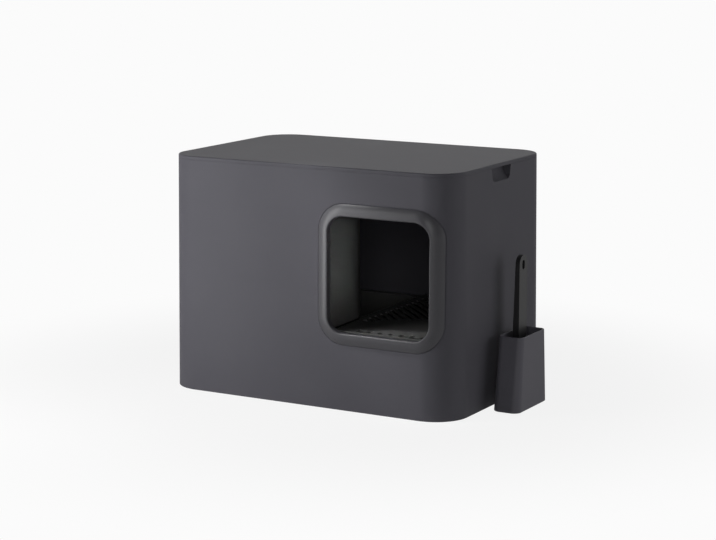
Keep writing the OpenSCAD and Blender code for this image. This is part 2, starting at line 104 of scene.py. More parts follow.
SCOOP_LOW, SCOOP_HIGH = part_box("scoop")
BLADE_W, BLADE_L, BLADE_DEPTH, SCOOP_WALL = 0.078, 0.106, 0.030, 0.0022
BLADE_TIP, BLADE_ROUND, BLADE_BELLY = 0.005, 0.004, 0.7
SIFT_COUNT, SIFT_EDGE = 7, 0.015
HANDLE_W, HANDLE_T, HANDLE_ROOT_T, HANDLE_ROUND = 0.030, 0.0075, 0.0115, 0.0014
HANG_W, HANG_H, HANG_IN = 0.009, 0.0155, 0.0085

CORNER_STEPS = 24
ROUND_END = 0.999  # a slot's end radius against half its width, so that its bevels don't meet


def lean(z):
    """How far the walls lean out at height z."""
    return FLARE * (1 - z / BODY_H)


def body_ring(z, inset=0.0, level=None):
    """The box's outline at height z, moved in by inset, or the outline of another level."""
    grow = lean(z if level is None else level) - inset
    return BODY_W + 2 * grow, BODY_D + 2 * grow, CORNER + grow, z


def front_y(x, z, inset=0.0):
    """Y of the front wall's face at x and z, moved in by inset."""
    width, depth, r, _ = body_ring(z, inset)
    bend = max(0.0, abs(x) - (width / 2 - r))
    return r - depth / 2 - math.sqrt(max(0.0, r * r - bend * bend))


def along_baffle(run, off):
    """A point of the baffle's plan: run along its face from the front, and off behind its face."""
    ahead, side = math.cos(BAFFLE_LEAN), math.sin(BAFFLE_LEAN)
    foot_y = front_y(0, BAFFLE_HIGH) + COLLAR_BACK + 2 * SEAT
    return Vector((BAFFLE_X - run * side - off * ahead, foot_y + run * ahead - off * side))


def quarter(steps, start=0):
    """Angles of a quarter turn, in radians."""
    return [math.pi / 2 * k / steps for k in range(start, steps + 1)]


# ---------------------------------------------------------------- modelling by hand


def start(name, primitive, **settings):
    """A new primitive alone in the selection, with its place in its mesh."""
    bpy.ops.object.select_all(action="DESELECT")
    primitive(**settings)
    piece = bpy.context.object
    piece.name = piece.data.name = name
    bpy.ops.object.transform_apply(location=True, rotation=True, scale=True)
    return piece


@contextmanager
def edit(piece, mode="VERT"):
    """Edit mode on one piece, with nothing selected in it."""
    bpy.ops.object.select_all(action="DESELECT")
    piece.select_set(True)
    bpy.context.view_layer.objects.active = piece
    bpy.ops.object.mode_set(mode="EDIT")
    bpy.ops.mesh.select_mode(type=mode)
    bpy.ops.mesh.select_all(action="DESELECT")
    yield
    bpy.ops.object.mode_set(mode="OBJECT")


def pick(piece, kind, test=lambda item: True):
    """Selects only the verts, edges or faces that pass the test."""
    bpy.ops.mesh.select_all(action="DESELECT")
    mesh = bmesh.from_edit_mesh(piece.data)
    for item in getattr(mesh, kind):
        if test(item):
            item.select_set(True)
    mesh.select_flush_mode()
    bmesh.update_edit_mesh(piece.data)


def centre(item):
    """Middle of an edge or face."""
    return sum((v.co for v in item.verts), Vector()) / len(item.verts)


def join(*pieces):
    """Joins the pieces into the first."""
    bpy.ops.object.select_all(action="DESELECT")
    for piece in pieces:
        piece.select_set(True)
    bpy.context.view_layer.objects.active = pieces[0]
    bpy.ops.object.join()
    return pieces[0]


def apply(piece, kind, **settings):
    """Adds one modifier and applies it."""
    bpy.context.view_layer.objects.active = piece
    modifier = piece.modifiers.new(kind.title(), kind)
    for key, value in settings.items():
        setattr(modifier, key, value)
    bpy.ops.object.modifier_apply(modifier=modifier.name)


def combine(piece, tool, operation):
    """Cuts, fuses or crosses a piece with a tool, which is used up."""
    apply(piece, "BOOLEAN", object=tool, operation=operation, solver="EXACT")
    bpy.data.objects.remove(tool)
    return piece


def copy_of(piece):
    """A copy of a piece with its own mesh."""
    twin = piece.copy()
    twin.data = piece.data.copy()
    bpy.context.collection.objects.link(twin)
    return twin


def shift(piece, x=0.0, y=0.0, z=0.0):
    """Moves a whole piece in its mesh."""
    with edit(piece):
        pick(piece, "verts")
        bpy.ops.transform.translate(value=(x, y, z))


def turn(piece, degrees, axis, about=(0, 0, 0)):
    """Turns a whole piece in its mesh, by the right-hand rule."""
    with edit(piece):
        pick(piece, "verts")
        bpy.ops.transform.rotate(value=-math.radians(degrees), orient_axis=axis, center_override=about)


def face_out():
    """Turns all faces of the piece in edit mode outwards."""
    bpy.ops.mesh.select_all(action="SELECT")
    bpy.ops.mesh.normals_make_consistent(inside=False)


def plate(name, width, depth, radius, z=0.0, at=(0.0, 0.0), steps=CORNER_STEPS):
    """A flat plate with round corners, lying at height z."""
    piece = start(name, bpy.ops.mesh.primitive_plane_add, size=1)
    with edit(piece):
        pick(piece, "verts")
        bpy.ops.transform.resize(value=(width, depth, 1))
        bpy.ops.mesh.bevel(offset=radius, segments=steps, affect="VERTICES")
        bpy.ops.mesh.select_all(action="SELECT")
        bpy.ops.transform.translate(value=(at[0], at[1], z))
    return piece


def slab(name, width, depth, radius, low, high, at=(0.0, 0.0), steps=CORNER_STEPS):
    """A plate with round corners, extruded from one height to another."""
    piece = plate(name, width, depth, radius, low, at, steps)
    with edit(piece, "FACE"):
        pick(piece, "faces")
        bpy.ops.mesh.extrude_region_move(TRANSFORM_OT_translate={"value": (0, 0, high - low)})
        face_out()
    return piece


def block(low, high):
    """A plain box between two corners, for a rib or a cut."""
    middle = [(a + b) / 2 for a, b in zip(low, high)]
    size = [b - a for a, b in zip(low, high)]
    return start("block", bpy.ops.mesh.primitive_cube_add, size=1, location=middle, scale=size)


def outline(width, depth, radius, z, at=(0.0, 0.0), steps=CORNER_STEPS):
    """The edge loop of a rounded rectangle at height z."""
    loop = plate("outline", width, depth, radius, z, at, steps)
    with edit(loop, "FACE"):
        pick(loop, "faces")
        bpy.ops.mesh.delete(type="ONLY_FACE")
    return loop


def loft(name, rings, closed=False, steps=CORNER_STEPS):
    """Bridges a stack of rounded rectangles, each (width, depth, radius, z) and maybe its middle.

    The two ends are filled, or with closed the last ring bridges back to the first.
    """
    loops = [outline(*ring, steps=steps) for ring in rings]
    strips = []
    for low, high in list(zip(loops, loops[1:])) + ([(loops[-1], loops[0])] if closed else []):
        strip = join(copy_of(low), copy_of(high))
        with edit(strip, "EDGE"):
            pick(strip, "edges")
            bpy.ops.mesh.bridge_edge_loops()
        strips.append(strip)
    for end in () if closed else (loops[0], loops[-1]):
        cap = copy_of(end)
        with edit(cap, "EDGE"):
            pick(cap, "edges")
            bpy.ops.mesh.edge_face_add()
        strips.append(cap)
    for loop in loops:
        bpy.data.objects.remove(loop)
    piece = join(*strips)
    with edit(piece):
        pick(piece, "verts")
        bpy.ops.mesh.remove_doubles(threshold=0.000002)
        face_out()
    piece.name = piece.data.name = name
    return piece


def smooth(piece, degrees=30):
    """Shades a piece smooth up to an angle, with flat faces kept flat."""
    bpy.ops.object.select_all(action="DESELECT")
    piece.select_set(True)
    bpy.context.view_layer.objects.active = piece
    bpy.ops.object.shade_smooth_by_angle(angle=math.radians(degrees))
    apply(piece, "WEIGHTED_NORMAL", keep_sharp=True, weight=70)


def soften(piece, width, segments=2, degrees=30):
    """Rounds the sharp edges and shades the piece smooth."""
    with edit(piece):
        pick(piece, "verts")
        bpy.ops.mesh.remove_doubles(threshold=0.00001)
        bpy.ops.mesh.dissolve_limited(angle_limit=math.radians(0.1))
    apply(piece, "BEVEL", width=width, segments=segments, limit_method="ANGLE",
          angle_limit=math.radians(degrees), use_clamp_overlap=False)
    smooth(piece, degrees)


# ---------------------------------------------------------------- shell and lid


def recess(side, grow=0.0):
    """The hollow of a finger recess: a roller outside the wall, crossed with a tapering window."""
    face = BODY_W / 2 + lean(SHELL_TOP)
    out = (RECESS_H ** 2 - RECESS_DEEP ** 2) / (2 * RECESS_DEEP)
    roller = start("roller", bpy.ops.mesh.primitive_cylinder_add, vertices=160, depth=BODY_D,
                   radius=out + RECESS_DEEP + grow, rotation=(math.pi / 2, 0, 0),
                   location=(side * (face + out), 0, SHELL_TOP))
    width, height = RECESS_W + 2 * grow, RECESS_H + grow
    middle = (side * (face + FLARE), 0, SHELL_TOP - height / 2)
    window = start("window", bpy.ops.mesh.primitive_plane_add, size=1, rotation=(0, math.pi / 2, 0),
                   location=middle)
    with edit(window):
        pick(window, "verts")
        bpy.ops.transform.resize(value=(1, width, height), center_override=middle)
        pick(window, "verts", lambda v: v.co.z < SHELL_TOP - height / 2)
        bpy.ops.transform.resize(value=(1, 1 - 2 * RECESS_TAPER / width, 1), center_override=middle)
        bpy.ops.mesh.bevel(offset=RECESS_R + grow, segments=10, affect="VERTICES")
        pick(window, "verts", lambda v: v.co.z > SHELL_TOP - WALL)
        bpy.ops.transform.translate(value=(0, 0, WALL))
        pick(window, "faces")
        bpy.ops.mesh.extrude_region_move(
            TRANSFORM_OT_translate={"value": (-side * (RECESS_DEEP + 2 * FLARE + grow), 0, 0)})
        face_out()
    return combine(window, roller, "INTERSECT")


def make_shell():
    """The drafted shell: rims, entrance, the groove round it, finger recesses and guide ribs."""
    rim = 0.0004
    shell = loft("shell", [
        body_ring(0, rim), body_ring(rim), body_ring(SHELL_TOP - rim), body_ring(SHELL_TOP, rim),
        body_ring(SHELL_TOP, WALL - rim), body_ring(SHELL_TOP - rim, WALL),
        body_ring(rim, WALL), body_ring(0, WALL - rim)], closed=True)
    inside = loft("inside", [body_ring(SILL, rim), body_ring(SHELL_TOP - rim, rim)])
    for side in (1, -1):
        pocket = combine(recess(side, RECESS_WALL), copy_of(inside), "INTERSECT")
        combine(shell, pocket, "UNION")
        combine(shell, recess(side), "DIFFERENCE")
    bpy.data.objects.remove(inside)
    hole = slab("hole", ENTRY_W + 2 * HOLE_OUT, ENTRY_H + 2 * HOLE_OUT, ENTRY_R + HOLE_OUT,
                -BODY_D, 0)
    turn(hole, 90, "X")
    low_y = min(v.co.y for v in hole.data.vertices)
    shift(hole, ENTRY_X, -BODY_D - low_y, ENTRY_Z)
    combine(shell, hole, "DIFFERENCE")
    inner, outer, clear = BAND - GROOVE_IN, BAND + GROOVE_OUT, 0.002
    groove = entrance_ring("groove", [
        (inner, clear), (inner, -GROOVE_DEEP), (outer, -GROOVE_DEEP), (outer, clear)])
    combine(shell, groove, "DIFFERENCE")
    for rib in guide_ribs():
        combine(shell, rib, "UNION")
    soften(shell, 0.0004, 2, 34)
    return shell


def guide_ribs():
    """Ribs inside the shell that centre it on the pan's rim."""
    low, high, thick, reach = 0.020, PAN_H + 0.010, 0.0024, 0.0003
    wall_x = BODY_W / 2 + lean(PAN_H) - WALL
    wall_y = BODY_D / 2 + lean(PAN_H) - WALL
    near = PAN_GAP - reach
    corner_x = BODY_W / 2 - CORNER - thick
    ribs = []
    for side in (1, -1):
        for y in (-BODY_D / 4, BODY_D / 4):
            ends = sorted((side * (wall_x - near), side * (wall_x + WALL / 2)))
            ribs.append(block((ends[0], y - thick / 2, low), (ends[1], y + thick / 2, high)))
    for x, side in ((-corner_x, 1), (corner_x, 1), (-corner_x, -1), (-BODY_W / 8, -1)):
        ends = sorted((side * (wall_y - near), side * (wall_y + WALL / 2)))
        ribs.append(block((x, ends[0], low), (x + thick, ends[1], high)))
    for rib in ribs:
        with edit(rib, "EDGE"):
            inner = min(abs(v.co.x) + abs(v.co.y) for v in rib.data.vertices)
            pick(rib, "edges", lambda e: abs(centre(e).z - high) < 1e-6
                 and all(abs(v.co.x) + abs(v.co.y) < inner + 2 * thick for v in e.verts))
            bpy.ops.mesh.bevel(offset=near * 0.8, segments=1)
    return ribs


def make_lid():
    """The flush lid: a plate with a rounded edge, a skirt inside the shell and ribs beneath."""
    seam = 0.00015
    top = [body_ring(BODY_H - LID_ROUND * (1 - math.sin(a)), LID_ROUND * (1 - math.cos(a)))
           for a in quarter(6)]
    lid = loft("lid", [body_ring(SHELL_TOP, seam), body_ring(SHELL_TOP + seam)] + top)
    skirt_in, tip = WALL + FIT, 0.0006
    skirt_low = SHELL_TOP - SKIRT_H
    skirt = loft("skirt", [body_ring(skirt_low, skirt_in + tip, SHELL_TOP),
                           body_ring(skirt_low + tip, skirt_in, SHELL_TOP),
                           body_ring(SHELL_TOP + seam, skirt_in, SHELL_TOP)])
    combine(lid, skirt, "UNION")
    hollow = loft("hollow", [body_ring(skirt_low - tip, skirt_in + SKIRT_T, SHELL_TOP),
                             body_ring(BODY_H - LID_PLATE, skirt_in + SKIRT_T, SHELL_TOP)])
    combine(lid, hollow, "DIFFERENCE")
    for side in (1, -1):
        ends = sorted((side * (BODY_W / 2 - WALL), side * (BODY_W / 2 - RECESS_DEEP - 2 * WALL)))
        half = RECESS_W / 2 + 2 * WALL
        notch = block((ends[0], -half, SHELL_TOP - 2 * SKIRT_H), (ends[1], half, SHELL_TOP))
        combine(lid, notch, "DIFFERENCE")
    for rib in lid_ribs():
        combine(lid, rib, "UNION")
    soften(lid, 0.0003, 2, 40)
    return lid


def lid_ribs():
    """Stiffening ribs that run across the underside of the lid."""
    low, high = SHELL_TOP - SKIRT_H / 2, BODY_H - LID_PLATE / 2
    long = BODY_W / 2 - (WALL + FIT + SKIRT_T) - RECESS_DEEP + SKIRT_T / 2
    wide = BODY_D / 2 - (WALL + FIT + SKIRT_T / 2)
    half = SKIRT_T / 2
    ribs = [block((-long, y - half, low), (long, y + half, high)) for y in (-BODY_D / 6, BODY_D / 6)]
    ribs += [block((x - half, -wide, low), (x + half, wide, high)) for x in (-BODY_W / 5, 0, BODY_W / 5)]
    return ribs


# ---------------------------------------------------------------- entrance


def entrance_ring(name, section, inset=0.0):
    """A section of (out, off) corners carried round the entrance and laid over the front wall.

    It is bridged lying down, with off as its height, and then stood up against the wall.
    """
    rings = [(ENTRY_W + 2 * out, ENTRY_H + 2 * out, ENTRY_R + out, off) for out, off in section]
    piece = loft(name, rings, closed=True, steps=30)
    for point in piece.data.vertices:
        x, z = ENTRY_X + point.co.x, ENTRY_Z + point.co.y
        point.co = (x, front_y(x, z, inset) - point.co.z, z)
    return piece


def make_bezel():
    """The raised entrance ring: a crown that rolls over into the entrance, with a neck."""
    gap, lip = 0.0009, 0.0010
    neck_end = -(WALL + SEAT)
    foot = [(NECK + (BAND - lip - NECK) * k / 5, SEAT) for k in range(6)]
    edge = [(BAND - lip, gap), (BAND - 0.0002, gap), (BAND, gap + 0.0003)]
    wide, high = BAND - CROWN_OUT, CROWN - BEZEL_EDGE
    dome_r = (wide ** 2 + high ** 2) / (2 * high)
    turns = [math.asin(wide / dome_r) * (1 - k / 14) for k in range(15)]
    band = [(CROWN_OUT + dome_r * math.sin(a), CROWN - dome_r * (1 - math.cos(a))) for a in turns]
    roll = [(CROWN_OUT * (1 - math.sin(a)), CROWN - CROWN_ROLL * (1 - math.cos(a)))
            for a in quarter(10, 1)]
    neck = [(0, neck_end + 0.0005), (0.0005, neck_end), (NECK, neck_end)]
    bezel = entrance_ring("bezel", foot + edge + band + roll + neck)
    smooth(bezel, 40)
    return bezel


def make_collar():
    """The clamping ring behind the wall, which the screws pull towards the bezel."""
    inner, outer, soft = HOLE_OUT + 0.002, BAND - 0.001, 0.0006
    back = -SEAT - COLLAR_T
    collar = entrance_ring("collar", [
        (inner, -SEAT), (inner, back + soft), (inner + soft, back), (outer - soft, back),
        (outer, back + soft), (outer, -SEAT)], WALL)
    smooth(collar, 40)
    return collar


def make_screw():
    """A pan-head screw with a cross recess, its head's seat at the origin, pointing forwards."""
    screw = start("screw", bpy.ops.mesh.primitive_cylinder_add, vertices=40, radius=HEAD_R,
                  depth=HEAD_H, location=(0, 0, HEAD_H / 2))
    with edit(screw, "EDGE"):
        pick(screw, "edges", lambda e: all(v.co.z > HEAD_H / 2 for v in e.verts))
        bpy.ops.mesh.bevel(offset=HEAD_H * 0.6, segments=5)
    shank = start("shank", bpy.ops.mesh.primitive_cylinder_add, vertices=24, radius=SCREW_R - SEAT / 2,
                  depth=SCREW_L, location=(0, 0, -SCREW_L / 2 + HEAD_H / 2))
    with edit(shank, "EDGE"):
        pick(shank, "edges", lambda e: all(v.co.z < -HEAD_H for v in e.verts))
        bpy.ops.mesh.bevel(offset=SCREW_R / 2, segments=2)
    combine(screw, shank, "UNION")
    for turned in (0, 90):
        cross = block((-CROSS_L / 2, -CROSS_W / 2, HEAD_H * 0.35),
                      (CROSS_L / 2, CROSS_W / 2, 2 * HEAD_H))
        turn(cross, turned, "Z")
        combine(screw, cross, "DIFFERENCE")
    turn(screw, -90, "X")
    smooth(screw, 35)
    return screw


def make_screws(name, places):
    """Copies of one screw with their heads' seats at the places."""
    model, screws = make_screw(), []
    for x, y, z in places:
        screw = copy_of(model)
        shift(screw, x, y, z)
        screws.append(screw)
    bpy.data.objects.remove(model)
    group = join(*screws)
    group.name = group.data.name = name
    return group


def make_baffle():
    """The side baffle: a leaning strip that ends in a wide curve, on a flange behind the wall."""
    across = BAFFLE_T / math.cos(BAFFLE_LEAN)
    foot_y = along_baffle(0, 0).y
    corners = {(0.5, 0.0): along_baffle(0, 0), (-0.5, 0.0): (BAFFLE_X - across, foot_y),
               (0.5, 1.0): along_baffle(BAFFLE_RUN, 0), (-0.5, 1.0): along_baffle(BAFFLE_RUN, BAFFLE_T)}
    strip = start("baffle", bpy.ops.mesh.primitive_plane_add, size=1, location=(0, 0.5, BAFFLE_LOW))
    with edit(strip):
        for (x, y), place in corners.items():
            pick(strip, "verts", lambda v: abs(v.co.x - x) + abs(v.co.y - y) < 1e-6)
            bpy.ops.transform.translate(value=(place[0] - x, place[1] - y, 0))
    with edit(strip, "EDGE"):
        pick(strip, "edges", lambda e: all(v.co.y > foot_y + BAFFLE_RUN / 2 for v in e.verts))
        bpy.ops.mesh.spin(steps=14, angle=-ROLL_TURN, axis=(0, 0, 1),
                          center=(*along_baffle(BAFFLE_RUN, ROLL_R), BAFFLE_LOW))
    with edit(strip, "FACE"):
        pick(strip, "faces")
        bpy.ops.mesh.extrude_region_move(
            TRANSFORM_OT_translate={"value": (0, 0, BAFFLE_HIGH - BAFFLE_LOW)})
        bpy.ops.mesh.select_all(action="SELECT")
        bpy.ops.mesh.remove_doubles(threshold=0.000002)
        face_out()
    flange_w = SCREW_OUT + HEAD_R + BAFFLE_T
    flange = block((BAFFLE_X - flange_w, foot_y, BAFFLE_LOW),
                   (BAFFLE_X - across / 2, foot_y + BAFFLE_T, BAFFLE_HIGH))
    with edit(flange):
        pick(flange, "verts", lambda v: v.co.y < foot_y + SEAT and v.co.z < BAFFLE_LOW + SEAT)
        bpy.ops.transform.translate(value=(0, front_y(0, BAFFLE_LOW) - front_y(0, BAFFLE_HIGH), 0))
    combine(strip, flange, "UNION")
    soften(strip, 0.0007, 3, 40)
    return strip


# ---------------------------------------------------------------- deck and pan


def slot_runs():
    """Middle and length of each drain slot: diagonals of the field, clear of the round landing."""
    half = SLOT_W / 2
    low = Vector((DECK_LEFT + DECK_MARGIN + half, -DECK_BACK + DECK_MARGIN + half))
    high = Vector((DECK_RIGHT - DECK_MARGIN - half, DECK_BACK - DECK_MARGIN - half))
    way = Vector((1, -1)).normalized()
    across = Vector((1, 1)).normalized()
    runs = []
    for k in range(-24, 25):
        line = Vector((DECK_MID, 0)) + across * (k * SLOT_PITCH)
        ends = [(low.x - line.x) / way.x, (high.x - line.x) / way.x,
                (low.y - line.y) / way.y, (high.y - line.y) / way.y]
        first, last = max(min(ends[:2]), min(ends[2:])), min(max(ends[:2]), max(ends[2:]))
        beside = LANDING_AT - line
        near, off = beside.dot(way), abs(beside.dot(across))
        if off < LANDING_R + half:
            last = min(last, near - math.sqrt((LANDING_R + half) ** 2 - off ** 2))
        if last - first > SLOT_W:
            runs.append((line + way * (first + last) / 2, last - first + SLOT_W))
    return runs


def make_deck():
    """The entry deck: a plate with drain slots, a corner cut round the baffle, a lip and a flange."""
    wide, deep, radius, _ = body_ring(0, BODY_W / 2 + lean(PAN_H) - DECK_RIGHT, PAN_H)
    deck = slab("deck", wide, deep, radius, PAN_H, SILL)
    lip_in = WALL + PAN_GAP + RIM_W + PAN_WALL + FIT
    low = PAN_H - DECK_FLANGE
    lip = loft("lip", [pan_ring(low, PAN_WALL + FIT), pan_ring(PAN_H, PAN_WALL + FIT),
                       pan_ring(PAN_H, PAN_WALL + FIT + DECK_T), pan_ring(low, PAN_WALL + FIT + DECK_T)],
               closed=True)
    combine(deck, lip, "UNION")
    combine(deck, block((-BODY_W, -BODY_D, 0), (DECK_LEFT, BODY_D, BODY_H)), "DIFFERENCE")
    reach = BODY_D / 2 + lean(PAN_H) - lip_in - DECK_FLANGE
    lip_left = block((DECK_LEFT, -reach, low), (DECK_LEFT + DECK_T, reach, PAN_H + DECK_T / 2))
    combine(deck, lip_left, "UNION")
    combine(deck, baffle_notch(), "DIFFERENCE")
    slots, under, over = [], PAN_H - DECK_T, SILL + DECK_T
    for middle, length in slot_runs():
        slot = slab("slot", length, SLOT_W, SLOT_W / 2 * ROUND_END, under, over, steps=8)
        turn(slot, -45, "Z")
        shift(slot, middle.x, middle.y)
        slots.append(slot)
    count = int((ENTRY_W / 2 - ENTRY_R) / WIPE_PITCH)
    for k in range(-count, count + 1):
        at = (DECK_MID + k * WIPE_PITCH, WIPE_IN + WIPE_L / 2 - DECK_BACK)
        slots.append(slab("wipe", WIPE_W, WIPE_L, WIPE_W * 0.3, under, over, at, 5))
    combine(deck, join(*slots), "DIFFERENCE")
    soften(deck, 0.0006, 2, 40)
    return deck


def baffle_notch():
    """The cut at the deck's front left corner, which goes round the baffle."""
    roll_x, roll_y = along_baffle(BAFFLE_RUN, ROLL_R)
    notch = block((-BODY_W, -BODY_D, 0), (BAFFLE_X + BAFFLE_GAP, roll_y, BODY_H))
    with edit(notch):
        pick(notch, "verts", lambda v: v.co.x > 0 and v.co.y > -BODY_D / 2)
        bpy.ops.transform.translate(value=(roll_x + ROLL_R - BAFFLE_X, 0, 0))
        pick(notch, "verts", lambda v: v.co.x > 0 and v.co.y < -BODY_D / 2)
        ahead = along_baffle(0, 0).y + BODY_D
        bpy.ops.transform.translate(value=(ahead * math.tan(BAFFLE_LEAN), 0, 0))
    roller = start("roller", bpy.ops.mesh.primitive_cylinder_add, vertices=240,
                   radius=ROLL_R + BAFFLE_GAP, depth=BODY_H, location=(roll_x, roll_y, BODY_H / 2))
    combine(notch, roller, "UNION")
    corner = block((-BODY_W, roll_y - ROLL_R, 0), (roll_x, roll_y + ROLL_R + BAFFLE_GAP, BODY_H))
    return combine(notch, corner, "UNION")


def pan_ring(z, inset, level=None):
    """The pan's outline under its rim at height z, moved in by inset."""
    depth = WALL + PAN_GAP + RIM_W + PAN_DRAFT * (1 - (z if level is None else level) / PAN_H) + inset
    wide, deep, radius, _ = body_ring(z, depth, PAN_H)
    return wide, deep, radius, z


def rim_ring(z, inset=0.0):
    """The outline of the pan's rim at height z, moved in by inset."""
    return body_ring(z, WALL + PAN_GAP + inset, PAN_H)


def make_pan():
    """The litter pan: a drafted tray with a filleted floor and a turned-down hollow rim."""
    soft = 0.0008
    rings = [pan_ring(PAN_ROUND * (1 - math.cos(a)), PAN_ROUND * (1 - math.sin(a))) for a in quarter(8)]
    rings += [pan_ring(PAN_H - PAN_WALL - soft, 0), pan_ring(PAN_H - PAN_WALL, -soft)]
    rings += [rim_ring(PAN_H - PAN_WALL, PAN_WALL), rim_ring(PAN_H - 2 * PAN_WALL, PAN_WALL),
              rim_ring(PAN_H - 2 * PAN_WALL, 0)]
    rings += [rim_ring(PAN_H - soft * (1 - math.sin(a)), soft * (1 - math.cos(a)))
              for a in quarter(3)]
    rings += [pan_ring(PAN_H, PAN_WALL - soft), pan_ring(PAN_H - soft, PAN_WALL)]
    inner = PAN_ROUND - PAN_WALL
    rings += [pan_ring(PAN_WALL + inner * (1 - math.cos(a)), PAN_WALL + inner * (1 - math.sin(a)))
              for a in reversed(quarter(8))]
    pan = loft("pan", rings)
    smooth(pan, 40)
    return pan


# ---------------------------------------------------------------- holder and scoop


def holder_ring(z, inset=0.0):
    """The holder's outline at height z, moved in by inset."""
    t = 1 - z / HOLDER_HIGH.z
    wide, deep, radius = (m + t * (f - m) for f, m in zip(FOOT, MOUTH))
    at = (MOUTH_AT[0] + t * (FOOT_AT[0] - MOUTH_AT[0]), MOUTH_AT[1] + t * (FOOT_AT[1] - MOUTH_AT[1]))
    return wide - 2 * inset, deep - 2 * inset, radius - inset, z, at


def make_holder():
    """The flared holder: a rounded foot, leaning walls and a rolled lip."""
    foot, lip, top = 0.0016, HOLDER_WALL / 2, HOLDER_HIGH.z
    rings = [holder_ring(foot * (1 - math.cos(a)), foot * (1 - math.sin(a))) for a in quarter(4)]
    rings += [holder_ring(top - lip * (1 - math.sin(a)), lip * (1 - math.cos(a)))
              for a in quarter(4)]
    rings += [holder_ring(top - lip * (1 - math.cos(a)), lip + lip * math.sin(a))
              for a in quarter(4, 1)]
    floor = HOLDER_WALL + 0.004
    rings += [holder_ring(floor, HOLDER_WALL), holder_ring(HOLDER_WALL, floor)]
    holder = loft("holder", rings, steps=14)
    smooth(holder, 40)
    return holder


def make_blade():
    """The scoop's blade: a box open to the right and below, with a slotted back."""
    low, high, back = SCOOP_LOW.z, SCOOP_LOW.z + BLADE_L, SCOOP_LOW.x
    belly = high * BLADE_BELLY
    blade = block((back, -BLADE_W / 2, belly), (back + BLADE_DEPTH, BLADE_W / 2, high))
    with edit(blade, "FACE"):
        pick(blade, "faces", lambda f: f.normal.z < -0.5)
        bpy.ops.mesh.extrude_region_move(TRANSFORM_OT_translate={"value": (0, 0, low - belly)})
    with edit(blade):
        pick(blade, "verts", lambda v: v.co.z < low + 0.001 and v.co.x > back + 0.001)
        bpy.ops.transform.translate(value=(BLADE_TIP - BLADE_DEPTH, 0, 0))
    with edit(blade, "EDGE"):
        pick(blade, "edges", lambda e: abs(centre(e).z - high) < 1e-5
             or abs(centre(e).x - back) < 1e-5 and abs(abs(centre(e).y) - BLADE_W / 2) < 1e-5)
        bpy.ops.mesh.bevel(offset=BLADE_ROUND, segments=5)
    with edit(blade, "FACE"):
        pick(blade, "faces", lambda f: f.normal.x > 0.9 or f.normal.z < -0.9
             or (f.normal.z < -0.1 and f.normal.x > 0.1))
        bpy.ops.mesh.delete(type="FACE")
    apply(blade, "SOLIDIFY", thickness=SCOOP_WALL, offset=-1, use_even_offset=True)
    pitch = (BLADE_W - 4 * SCOOP_WALL) / SIFT_COUNT
    slots = []
    for k in range(SIFT_COUNT):
        slot = slab("slot", BLADE_L - 2 * SIFT_EDGE, pitch / 2, pitch / 4 * ROUND_END,
                    -SCOOP_WALL, 2 * SCOOP_WALL, steps=6)
        turn(slot, -90, "Y")
        shift(slot, back, (k - (SIFT_COUNT - 1) / 2) * pitch, (low + high) / 2)
        slots.append(slot)
    combine(blade, join(*slots), "DIFFERENCE")
    return blade


def make_scoop():
    """The scoop: a tapering handle with a round end and a hanging slot, on a slotted blade."""
    blade_high = SCOOP_LOW.z + BLADE_L
    face = SCOOP_LOW.x + BLADE_DEPTH / 2 + 0.001
    foot, top = blade_high - SCOOP_WALL, SCOOP_HIGH.z
    handle = slab("handle", top - foot + HANDLE_W, HANDLE_W, HANDLE_W / 2 * ROUND_END,
                  0, HANDLE_T, steps=18)
    turn(handle, -90, "Y")
    high = max(v.co.z for v in handle.data.vertices)
    shift(handle, face - max(v.co.x for v in handle.data.vertices), 0, top - high)
    with edit(handle):
        bpy.ops.mesh.select_all(action="SELECT")
        bpy.ops.mesh.bisect(plane_co=(0, 0, foot), plane_no=(0, 0, 1), clear_inner=True,
                            use_fill=True)
        pick(handle, "verts", lambda v: v.co.z < foot + 0.0001 and v.co.x < face - HANDLE_T / 2)
        bpy.ops.transform.translate(value=(HANDLE_T - HANDLE_ROOT_T, 0, 0))
    hang_at = top - HANG_IN - HANG_H / 2
    hole = slab("hole", HANG_H, HANG_W, HANG_W / 2 * ROUND_END,
                -HANDLE_ROOT_T, HANDLE_ROOT_T, steps=10)
    turn(hole, -90, "Y")
    shift(hole, face, 0, hang_at)
    combine(handle, hole, "DIFFERENCE")
    with edit(handle, "EDGE"):
        pick(handle, "edges", lambda e: len(e.link_faces) == 2 and e.calc_face_angle(0) > 1.2)
        bpy.ops.mesh.bevel(offset=HANDLE_ROUND, segments=4, clamp_overlap=True)
    blade = make_blade()
    combine(blade, handle, "UNION")
    soften(blade, 0.0005, 2, 38)
    blade.name = blade.data.name = "scoop_and_handle"
    return blade


# ---------------------------------------------------------------- materials


class Value:
    """A shader socket that takes part in Python sums, which add its Math nodes."""

    def __init__(self, finish, socket):
        self.finish, self.socket = finish, socket

    def __add__(self, other):
        return self.finish.maths("ADD", self, other)

    def __sub__(self, other):
        return self.finish.maths("SUBTRACT", self, other)

    def __rsub__(self, other):
        return self.finish.maths("SUBTRACT", other, self)

    def __mul__(self, other):
        return self.finish.maths("MULTIPLY", self, other)

    __radd__, __rmul__ = __add__, __mul__


